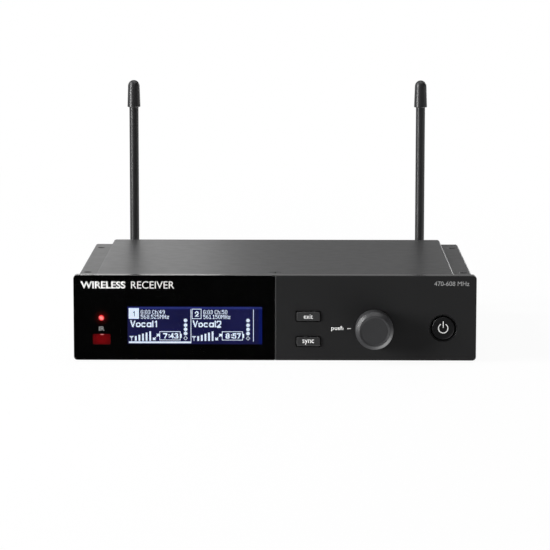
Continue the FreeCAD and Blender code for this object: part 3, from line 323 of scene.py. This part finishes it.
def display_glow():
    """Backlit blue display: navy in the middle, brighter along the top and the right edge."""
    f = Finish("display_glass", (0.002, 0.003, 0.02), 0.3, Specular_IOR_Level=0.05)
    from_top = f.ramp(f.math("SUBTRACT", base_z / MM + display_top, f.z), 0.7, 1.5, 1.0, 0.0)
    from_right = f.ramp(f.math("SUBTRACT", display_right, f.x), 0.4, 2.6, 1.0, 0.0)
    cloud = f.ramp(f.noise(16.0, 2.0), 0.3, 0.7, 0.85, 1.2)
    shade = f.mix(from_right, (0.0090, 0.0093, 0.052), (0.003, 0.0085, 0.115))
    f.glow(f.mix(from_top, shade, (0.021, 0.030, 0.175)), cloud)
    return f


def board_finish():
    """Green solder mask with tracks under it."""
    f = Finish("circuit_board", (0.008, 0.07, 0.03), 0.35)
    tracks = f.ramp(f.cells(3.2, "DISTANCE_TO_EDGE"), 0.03, 0.07, 1.0, 0.0)
    f.color(f.mix(tracks, (0.006, 0.055, 0.022), (0.02, 0.13, 0.05)))
    f.rough(f.ramp(f.noise(4.0, 3.0), 0.3, 0.7, 0.28, 0.42))
    f.bump(0.02, tracks)
    return f


def cable_finish():
    """White flat cable with its conductors showing."""
    f = Finish("ribbon_plastic", (0.7, 0.7, 0.66), 0.4)
    wave = f.math("SINE", f.math("MULTIPLY", f.x, 2 * math.pi))
    f.color(f.mix(f.ramp(wave, -0.2, 0.6), (0.75, 0.75, 0.72), (0.5, 0.5, 0.5)))
    f.bump(0.05, wave)
    return f


def make_finishes():
    """One material for each of the record's slots."""
    made = {
        "panel_matt_plastic": panel_plastic(),
        "clear_window": clear_pane(),
        "black_film": mask_film(),
        "red_light_pipe": lamp_glow(),
        "red_filter": ir_filter(),
        "display_glass": display_glow(),
        "backlight": moulded("backlight", (0.8, 0.85, 0.95), 0.5),
        "tray_plastic": moulded("tray_plastic", (0.03, 0.03, 0.03), 0.5, edge=0.15),
        "key_rubber": rubbery("key_rubber", (0.027, 0.027, 0.028), 0.42, edge=0.35),
        "key_gloss": moulded("key_gloss", (0.010, 0.010, 0.0108), 0.33, 0.3, 0.004),
        "switch_plastic": moulded("switch_plastic", (0.05, 0.05, 0.055), 0.45, edge=0.1),
        "knob_plastic": moulded("knob_plastic", (0.040, 0.040, 0.042), 0.42, 0.4, 0.008),
        "nickel_plate": plated("nickel_plate", (0.62, 0.6, 0.56), 0.22),
        "zinc_plate": plated("zinc_plate", (0.55, 0.56, 0.58), 0.3),
        "circuit_board": board_finish(),
        "lamp_epoxy": moulded("lamp_epoxy", (0.05, 0.02, 0.03), 0.2),
        "tin_plate": plated("tin_plate", (0.6, 0.61, 0.62), 0.28),
        "component_plastic": moulded("component_plastic", (0.02, 0.02, 0.02), 0.45, edge=0.1),
        "header_plastic": moulded("header_plastic", (0.75, 0.72, 0.62), 0.45, edge=0.1),
        "ribbon_plastic": cable_finish(),
        "lead_jacket": rubbery("lead_jacket", (0.02, 0.02, 0.02), 0.4),
        "painted_steel": powder_coat("painted_steel", (0.018, 0.018, 0.019), 0.38),
        "painted_cover": powder_coat("painted_cover", (0.018, 0.018, 0.019), 0.36),
        "black_screw": plated("black_screw", (0.07, 0.07, 0.075), 0.35),
        "foot_rubber": rubbery("foot_rubber", (0.025, 0.025, 0.025), 0.75),
        "socket_plastic": moulded("socket_plastic", (0.018, 0.018, 0.019), 0.42, edge=0.15),
        "contact_silver": plated("contact_silver", (0.78, 0.77, 0.73), 0.18, edge=0.05),
        "contact_gold": plated("contact_gold", (0.83, 0.62, 0.25), 0.2, edge=0.05),
        "tie_plastic": moulded("tie_plastic", (0.02, 0.02, 0.021), 0.5, edge=0.2),
        "white_insulator": moulded("white_insulator", (0.8, 0.8, 0.77), 0.45),
        "black_nickel": plated("black_nickel", (0.11, 0.11, 0.115), 0.3),
        "hinge_pin": plated("hinge_pin", (0.35, 0.35, 0.36), 0.3),
        "antenna_rubber": moulded("antenna_rubber", (0.020, 0.020, 0.021), 0.4, 0.6, 0.006),
        "cap_rubber": moulded("cap_rubber", (0.022, 0.022, 0.023), 0.36, 0.6, 0.006),
    }
    return {slot: finish.material for slot, finish in made.items()}


finishes = make_finishes()
# Both inks carry a faint painted glow that brightens the print.
ink_white = printed("ink_white", (0.80, 0.80, 0.79), 0.12).material
ink_grey = printed("ink_grey", (0.36, 0.36, 0.36), 0.03).material
for part in frame["record"]["subparts"]:
    slots = frame["nodes"][part["node"]].material_slots
    for slot in slots:
        slot.material = finishes[part["material_slot"]]


# ---------------------------------------------------------------- making pieces
def piece(name, mesh, body, material):
    item = bpy.data.objects.new(name, mesh)
    bpy.context.scene.collection.objects.link(item)
    mesh.materials.clear()
    mesh.materials.append(material)
    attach(item, body)
    return item


def mesh_of(name, outlines, back, front):
    """Plates from flat outlines of points in the panel's plane, between two depths. The back is open."""
    bm = bmesh.new()
    for outline in outlines:
        rear = [bm.verts.new(at(x, back, z)) for x, z in outline]
        near = [bm.verts.new(at(x, front, z)) for x, z in outline]
        bm.faces.new(near)
        for i, _ in enumerate(outline):
            j = (i + 1) % len(outline)
            bm.faces.new((near[i], rear[i], rear[j], near[j]))
    bmesh.ops.recalc_face_normals(bm, faces=bm.faces)
    mesh = bpy.data.meshes.new(name)
    bm.to_mesh(mesh)
    bm.free()
    return mesh


def letters(name, words, x0, x1, z0, z1, front, body, material, weight=0.0):
    """Printed words that fill a box on a face. weight thickens the strokes."""
    curve = bpy.data.curves.new(name, "FONT")
    curve.body = words
    curve.offset = weight
    curve.resolution_u = 6
    item = bpy.data.objects.new(name, curve)
    bpy.context.scene.collection.objects.link(item)
    bpy.context.view_layer.update()
    graph = bpy.context.evaluated_depsgraph_get()
    mesh = bpy.data.meshes.new_from_object(item.evaluated_get(graph))
    bpy.data.objects.remove(item)
    xs = [v.co.x for v in mesh.vertices]
    ys = [v.co.y for v in mesh.vertices]
    low_x, low_y = min(xs), min(ys)
    wide, tall = max(xs) - low_x, max(ys) - low_y
    bm = bmesh.new()
    bm.from_mesh(mesh)
    for v in bm.verts:
        across = (v.co.x - low_x) / wide
        upward = (v.co.y - low_y) / tall
        v.co = at(x0 + (x1 - x0) * across, front, z0 + (z1 - z0) * upward)
    bmesh.ops.remove_doubles(bm, verts=bm.verts, dist=1e-7)
    bmesh.ops.reverse_faces(bm, faces=bm.faces)
    for face in bm.faces:
        if face.normal.y >= 0:
            face.normal_flip()
    raised = bmesh.ops.extrude_face_region(bm, geom=bm.faces[:])
    moved = [g for g in raised["geom"] if isinstance(g, bmesh.types.BMVert)]
    bmesh.ops.translate(bm, vec=(0, -INK * MM, 0), verts=moved)
    bmesh.ops.recalc_face_normals(bm, faces=bm.faces)
    flat = bpy.data.meshes.new(name)
    bm.to_mesh(flat)
    bm.free()
    return piece(name, flat, body, material)


def rectangle(x0, x1, z0, z1):
    return [(x0, z0), (x1, z0), (x1, z1), (x0, z1)]


def arc_band(x, z, radius, width, start, end, steps=40):
    """Pieces of a curved band, from start to end degrees clockwise from the top."""
    made = []
    turn = (end - start) / steps
    for step in range(steps):
        a, b = (math.radians(start + turn * (step + i)) for i in (0, 1))
        inner, outer = radius - width / 2, radius + width / 2
        corners = [(inner, a), (outer, a), (outer, b), (inner, b)]
        made.append([(x + r * math.sin(t), z + r * math.cos(t)) for r, t in corners])
    return made


def front_labels():
    """Printed words and marks on the front."""
    title_foot = 35.4
    title_top = 39.0
    letters("label_maker", "WIRELESS", -94.9, -73.0, title_foot, title_top, 0, "root", ink_white, 0.03)
    letters("label_kind", "RECEIVER", -70.3, -49.2, title_foot, title_top, 0, "root", ink_white)
    letters("label_band", "470-608 MHz", 77.8, 94.9, 37.0, 39.2, 0, "root", ink_grey)
    letters("label_i", "I", -86.1, -85.78, 14.5, 16.65, 0, "root", ink_grey)
    letters("label_r", "R", -85.3, -83.4, 14.5, 16.65, 0, "root", ink_grey)
    letters("label_push", "push", 27.6, 33.5, 14.5, 17.1, 0, "root", ink_white, 0.015)
    dash = mesh_of("label_dash", [rectangle(35.35, 37.1, 15.65, 16.05)], SUNK, -INK)
    piece("label_dash", dash, "root", ink_white)


def key_labels():
    """Words on the two keys, which travel with them."""
    for word, wide, tall, rise in (("exit", 4.4, 2.2, 0.0), ("sync", 5.7, 2.6, -0.1)):
        x, z = panel_place(word + "_button")
        z += rise
        box = (x - wide / 2, x + wide / 2, z - tall / 2, z + tall / 2)
        front = panel_depth(word + "_button")
        letters("label_" + word, word, *box, front, word + "_key", ink_white, 0.01)


def power_symbol():
    """Broken ring with a bar, on the power key."""
    line = 0.44
    front = panel_depth("power_button")
    shapes = arc_band(power_x, power_z, 2.3, line, 30, 330)
    shapes.append(rectangle(power_x - line / 2, power_x + line / 2, power_z + 0.2, power_z + 3.4))
    mesh = mesh_of("power_symbol", shapes, front + SUNK, front - INK)
    piece("power_symbol", mesh, "power_key", ink_white)


# ---------------------------------------------------------------- what the display shows
DOTS_ACROSS = 224
DOTS_DOWN = 64
SMALL = {
    "0": ".##. #..# #..# #..# #..# #..# .##.",
    "1": ".#. ##. .#. .#. .#. .#. ###",
    "2": ".##. #..# ...# ..#. .#.. #... ####",
    "3": ".##. #..# ...# .##. ...# #..# .##.",
    "4": "..#. .##. #.#. #.#. #### ..#. ..#.",
    "5": "#### #... ###. ...# ...# #..# .##.",
    "6": ".##. #... #... ###. #..# #..# .##.",
    "7": "#### ...# ..#. ..#. .#.. .#.. .#..",
    "8": ".##. #..# #..# .##. #..# #..# .##.",
    "9": ".##. #..# #..# .### ...# ...# .##.",
    "C": ".##. #..# #... #... #... #..# .##.",
    "G": ".##. #..# #... #.## #..# #..# .##.",
    "H": "#..# #..# #..# #### #..# #..# #..#",
    "M": "#...# ##.## #.#.# #.#.# #...# #...# #...#",
    "h": "#... #... ###. #..# #..# #..# #..#",
    "z": ".... .... #### ...# .##. #... ####",
    ":": ". # . . . # .",
    ".": ". . . . . . #",
    " ": ". . . . . . .",
}


def bow(x, y, rx, ry, start, end, steps=14):
    """Points of an elliptical arc, in degrees from the right, counter-clockwise."""
    angles = [math.radians(start + (end - start) * i / steps) for i in range(steps + 1)]
    return [(x + rx * math.cos(a), y + ry * math.sin(a)) for a in angles]


# Strokes of the larger figures, in a box 4 wide and 6 high.
STROKES = {
    "V": [[(0, 6), (2, 0), (4, 6)]],
    "o": [bow(2, 2, 2, 2, 0, 360)],
    "c": [bow(2, 2, 2, 2, 50, 310)],
    "a": [bow(2, 2, 2, 2, 0, 360), [(4, 4), (4, 0)]],
    "l": [[(0.4, 6), (0.4, 0)]],
    "1": [[(0.8, 4.9), (2.2, 6), (2.2, 0)]],
    "2": [bow(2, 4.1, 2, 1.9, 165, -35) + [(0, 0), (4, 0)]],
    "3": [bow(1.8, 4.5, 1.9, 1.5, 150, -90), bow(1.8, 1.55, 2.2, 1.55, 90, -150)],
    "4": [[(3, 0), (3, 6), (0, 1.9), (4.2, 1.9)]],
    "5": [[(3.8, 6), (0.5, 6), (0.3, 3.3)] + bow(1.9, 2.0, 2.1, 2.0, 125, -150)],
    "7": [[(0, 6), (4, 6), (1.4, 0)]],
    "8": [bow(2, 4.55, 1.75, 1.45, 0, 360), bow(2, 1.6, 2.0, 1.6, 0, 360)],
    ":": [[(1.5, 4.2), (1.5, 4.3)], [(1.5, 1.5), (1.5, 1.6)]],
}
NARROW = {":": 3.0, "l": 2.2}


class Dots:
    """Lit dots of the display, as columns and rows from its top left."""

    def __init__(self):
        self.lit = set()

    def fill(self, column, row, wide, tall):
        self.lit |= {(column + i, row + j) for i in range(wide) for j in range(tall)}

    def clear(self, dots):
        self.lit -= dots

    def outline(self, column, row, wide, tall):
        self.fill(column, row, wide, 1)
        self.fill(column, row + tall - 1, wide, 1)
        self.fill(column, row, 1, tall)
        self.fill(column + wide - 1, row, 1, tall)

    def small(self, words, column, row):
        for letter in words:
            rows = SMALL[letter].split()
            for j, line in enumerate(rows):
                self.lit |= {(column + i, row + j) for i, dot in enumerate(line) if dot == "#"}
            column += len(rows[0]) + 1

    def stroke(self, points, weight):
        """Dots within weight of a line through points."""
        made = set()
        for (x0, y0), (x1, y1) in zip(points, points[1:]):
            length = math.hypot(x1 - x0, y1 - y0)
            for column in range(int(min(x0, x1) - 3), int(max(x0, x1) + 4)):
                for row in range(int(min(y0, y1) - 3), int(max(y0, y1) + 4)):
                    along = ((column - x0) * (x1 - x0) + (row - y0) * (y1 - y0)) / max(length**2, 1e-9)
                    t = min(1.0, max(0.0, along))
                    gap = math.hypot(column - x0 - t * (x1 - x0), row - y0 - t * (y1 - y0))
                    if gap <= weight:
                        made.add((column, row))
        return made

    def large(self, words, column, row, wide, tall, weight):
        """Dots of words drawn in strokes. row is their foot."""
        made = set()
        for letter in words:
            for line in STROKES[letter]:
                points = [(column + x * wide / 4, row - y * tall / 6) for x, y in line]
                made |= self.stroke(points, weight)
            column += wide * NARROW.get(letter, 5.6) / 4
        return made


def channel(dots, column, number, name, status, frequency, clock, bars):
    """One half of the display, for one receiver channel."""
    digit = dots.large(number, column + 6.5, 15, 4.6, 7.3, 0.95)
    if number == "1":
        dots.fill(column, 2, 17, 18)
        dots.clear(digit)
    else:
        dots.outline(column + 1, 3, 16, 17)
        dots.lit |= digit
    dots.small(status, column + 20, 5)
    dots.small(frequency, column + 20, 13)
    dots.lit |= dots.large(name, column + 3, 33, 6.4, 10, 1.0)
    signal_bars(dots, column, bars)
    corner_arrows(dots, column + 40)
    dots.outline(column + 51, 41, 35, 15)
    dots.fill(column + 86, 45, 2, 7)
    dots.lit |= dots.large(clock, column + 57.5, 52, 5.2, 7.6, 0.95)
    level_lamps(dots, column + 94)


def signal_bars(dots, column, bars):
    """Mast and rising bars along the foot of the display."""
    mast = column + 4
    dots.lit |= dots.stroke([(mast - 3, 49), (mast, 52), (mast + 3, 49)], 0.5)
    dots.fill(mast - 3, 49, 7, 1)
    dots.fill(mast, 49, 1, 8)
    for step in range(bars):
        tall = 8 + 2 * step
        dots.fill(column + 10 + 6 * step, 57 - tall, 3, tall)


def corner_arrows(dots, left):
    """Two arrows that point to the lower left and to the upper right."""
    dots.lit |= dots.stroke([(left + 1, 54), (left + 4, 51)], 0.9)
    dots.lit |= dots.stroke([(left + 6, 49), (left + 9, 46)], 0.9)
    for corner, tip, way in ((left, 55, 1), (left + 10, 45, -1)):
        for inset in range(2):
            arm = 4 - inset
            dots.fill(min(corner, corner + arm * way), tip - inset * way, arm + 1, 1)
            dots.fill(corner + inset * way, min(tip, tip - arm * way), 1, arm + 1)


def level_lamps(dots, centre):
    """Four round lamps over a diamond."""
    for row in (22, 30, 37, 44):
        for i in range(-3, 4):
            dots.lit |= {(centre + i, row + j) for j in range(-3, 4) if i * i + j * j < 10}
    diamond = [(centre, 49), (centre + 3, 52), (centre, 55), (centre - 3, 52), (centre, 49)]
    dots.lit |= dots.stroke(diamond, 0.6)


def display_graphics():
    """Lit dots of the display, just in front of its glass."""
    dots = Dots()
    channel(dots, 2, "1", "Vocal1", "G:03 Ch:49", "568.525MHz", "7:43", 5)
    channel(dots, 106, "2", "Vocal2", "G:03 Ch:50", "561.150MHz", "8:57", 5)
    for divider in (105, 209):
        dots.fill(divider, 4, 1, 54)
    dots.fill(2, 58, 104, 3)
    pitch = display_width / DOTS_ACROSS
    size = pitch * 0.97
    left = display_x - display_width / 2
    top = display_top - 0.12
    shapes = []
    for column, row in sorted(dots.lit):
        if 0 <= column < DOTS_ACROSS and 0 <= row < DOTS_DOWN:
            x = left + column * pitch
            z = top - (row + 1) * pitch
            shapes.append(rectangle(x, x + size, z, z + size))
    front = panel_depth("lcd_panel")
    f = Finish("display_dots", (0.3, 0.35, 0.4), 0.5)
    f.glow(f.mix(f.noise(7.0, 2.0), (0.68, 0.80, 1.0), (0.82, 0.91, 1.0)), 1.0)
    mesh = mesh_of("display_graphics", shapes, front - 0.01, front - 0.04)
    piece("display_graphics", mesh, "root", f.material)


# ---------------------------------------------------------------- camera, floor and light
def make_camera():
    """Long lens in front of the panel, a little above it."""
    data = bpy.data.cameras.new("camera")
    data.lens = 177.93
    data.sensor_width = 36.0
    item = bpy.data.objects.new("camera", data)
    item.location = at(8.525, -1313.8, 223.09)
    tilt = math.radians(82.162)
    item.rotation_euler = (tilt, -0.001, 0.0066)
    bpy.context.scene.collection.objects.link(item)
    bpy.context.scene.camera = item


def make_floor():
    """Pale floor that fades to plain white far from the object."""
    reach = 9.0
    fade_start = 0.25
    fade_end = 0.9
    near_whiteness = 0.94
    mesh = bpy.data.meshes.new("floor")
    corners = [(-reach, -reach, 0), (reach, -reach, 0), (reach, reach, 0), (-reach, reach, 0)]
    mesh.from_pydata(corners, [], [(0, 1, 2, 3)])
    floor = bpy.data.objects.new("floor", mesh)
    bpy.context.scene.collection.objects.link(floor)
    material = bpy.data.materials.new("floor")
    material.use_nodes = True
    tree = material.node_tree
    shader = tree.nodes["Principled BSDF"]
    shader.inputs["Base Color"].default_value = (0.93, 0.93, 0.93, 1)
    shader.inputs["Roughness"].default_value = 0.9
    glow = tree.nodes.new("ShaderNodeEmission")
    coords = tree.nodes.new("ShaderNodeTexCoord")
    length = tree.nodes.new("ShaderNodeVectorMath")
    length.operation = "LENGTH"
    fade = tree.nodes.new("ShaderNodeMapRange")
    fade.interpolation_type = "SMOOTHSTEP"
    fade.inputs["From Min"].default_value = fade_start
    fade.inputs["From Max"].default_value = fade_end
    fade.inputs["To Min"].default_value = near_whiteness
    mixed = tree.nodes.new("ShaderNodeMixShader")
    tree.links.new(coords.outputs["Object"], length.inputs[0])
    tree.links.new(length.outputs["Value"], fade.inputs["Value"])
    tree.links.new(fade.outputs["Result"], mixed.inputs["Fac"])
    tree.links.new(shader.outputs[0], mixed.inputs[1])
    tree.links.new(glow.outputs[0], mixed.inputs[2])
    tree.links.new(mixed.outputs[0], tree.nodes["Material Output"].inputs["Surface"])
    mesh.materials.append(material)
    floor.visible_glossy = False
    floor.visible_transmission = False
    floor.visible_shadow = False


def soft_light(name, place, target, wide, tall, power):
    """Rectangular lamp that faces target. Metres and watts."""
    data = bpy.data.lights.new(name, "AREA")
    data.shape = "RECTANGLE"
    data.size = wide
    data.size_y = tall
    data.energy = power
    item = bpy.data.objects.new(name, data)
    item.location = place
    item.rotation_euler = (Vector(target) - Vector(place)).to_track_quat("-Z", "Y").to_euler()
    item.visible_camera = False
    bpy.context.scene.collection.objects.link(item)


def make_world():
    """White behind the object, and soft glows that its surfaces pick up."""
    world = bpy.data.worlds.new("studio")
    bpy.context.scene.world = world
    world.use_nodes = True
    tree = world.node_tree
    tree.nodes.clear()
    coords = tree.nodes.new("ShaderNodeTexCoord")
    even_glow = 0.015
    total = None
    glows = [  # direction, sharpness, strength
        ((-0.1, 0.97, 0.2), 3.0, 0.40),
        ((0, 0, 1), 2.0, 0.14),
        ((0.64, 0.09, -0.77), 7.0, 7.0),
    ]
    for direction, sharpness, strength in glows:
        dot = tree.nodes.new("ShaderNodeVectorMath")
        dot.operation = "DOT_PRODUCT"
        dot.inputs[1].default_value = Vector(direction).normalized()
        tree.links.new(coords.outputs["Generated"], dot.inputs[0])
        value = dot.outputs["Value"]
        for operation, number in (("MAXIMUM", 0.0), ("POWER", sharpness), ("MULTIPLY", strength)):
            node = tree.nodes.new("ShaderNodeMath")
            node.operation = operation
            node.inputs[1].default_value = number
            tree.links.new(value, node.inputs[0])
            value = node.outputs[0]
        joined = tree.nodes.new("ShaderNodeMath")
        joined.operation = "ADD"
        tree.links.new(value, joined.inputs[0])
        if total is None:
            joined.inputs[1].default_value = even_glow
        else:
            tree.links.new(total, joined.inputs[1])
        total = joined.outputs[0]
    glow = tree.nodes.new("ShaderNodeBackground")
    tree.links.new(total, glow.inputs["Strength"])
    plain = tree.nodes.new("ShaderNodeBackground")
    seen = tree.nodes.new("ShaderNodeLightPath")
    mixed = tree.nodes.new("ShaderNodeMixShader")
    out = tree.nodes.new("ShaderNodeOutputWorld")
    plain.inputs["Strength"].default_value = 1.0
    plain.inputs["Color"].default_value = (1, 1, 1, 1)
    tree.links.new(seen.outputs["Is Camera Ray"], mixed.inputs["Fac"])
    tree.links.new(glow.outputs[0], mixed.inputs[1])
    tree.links.new(plain.outputs[0], mixed.inputs[2])
    tree.links.new(mixed.outputs[0], out.inputs["Surface"])


def make_light():
    """Lamps of the studio."""
    make_world()
    soft_light("top", (0.1, 0.1, 1.5), (0, 0, 0), 1.3, 1.0, 7.0)
    soft_light("key", (-1.15, -0.15, 1.0), (0, 0, 0.05), 0.45, 0.5, 14.0)
    soft_light("side", (-1.25, -0.6, 0.3), (0, 0.05, 0.08), 0.35, 0.55, 19.0)
    soft_light("card", (-0.42, 0.80, 0.26), (-0.1, 0.0, 0.04), 0.8, 0.4, 0.72)
    soft_light("rear_right", (0.55, 0.9, 0.3), (0.1, 0.0, 0.04), 0.5, 0.4, 2.7)


make_camera()
make_floor()
make_light()
bpy.context.scene.view_settings.view_transform = "Standard"
front_labels()
key_labels()
power_symbol()
display_graphics()
